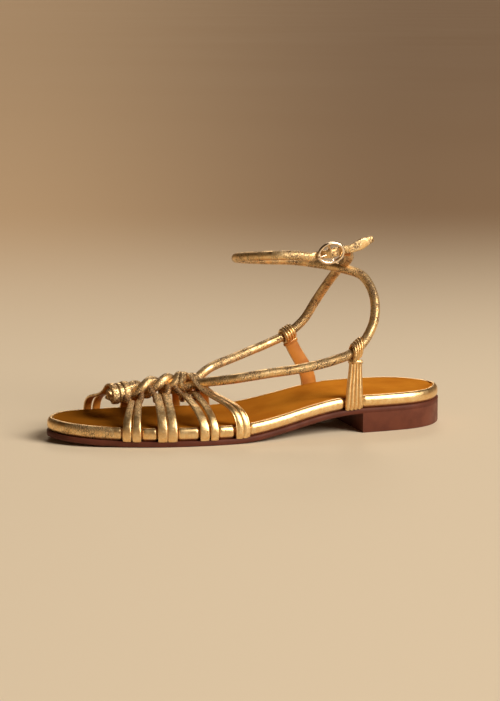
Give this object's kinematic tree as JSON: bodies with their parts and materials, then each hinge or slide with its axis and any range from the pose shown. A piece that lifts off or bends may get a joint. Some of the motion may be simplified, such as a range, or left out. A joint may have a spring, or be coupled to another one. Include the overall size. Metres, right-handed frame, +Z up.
{
  "type": "gladiator sandal",
  "caption": "Flat open sandal: knotted strap cage on a low heeled sole, with a corded, buckled ankle strap.",
  "frame": {"origin": "on the floor under the heel block, on the shoe's centre line, 25 mm in front of the back of the footbed", "axes": "+X towards the toe, +Y towards the outer side of the foot, +Z up"},
  "size_m": [0.2496, 0.0859, 0.1199],
  "materials": {
    "outsole": "dark red-brown sole leather, semi-matte",
    "heel": "red-brown stacked leather, smooth",
    "footbed_edge": "gold foil leather with fine cracks, shiny",
    "insole": "smooth cognac leather, glossy",
    "straps": "gold foil leather, crackled, tan lining",
    "buckle": "polished pale gold"
  },
  "bodies": {
    "root": {"outsole": "outsole", "heel_block": "heel", "footbed": "footbed_edge", "insole": "insole", "upper": "straps", "stirrup_outer": "straps", "stirrup_inner": "straps", "buckle_frame": "buckle", "buckle_prong": "buckle"}
  },
  "joints": []
}
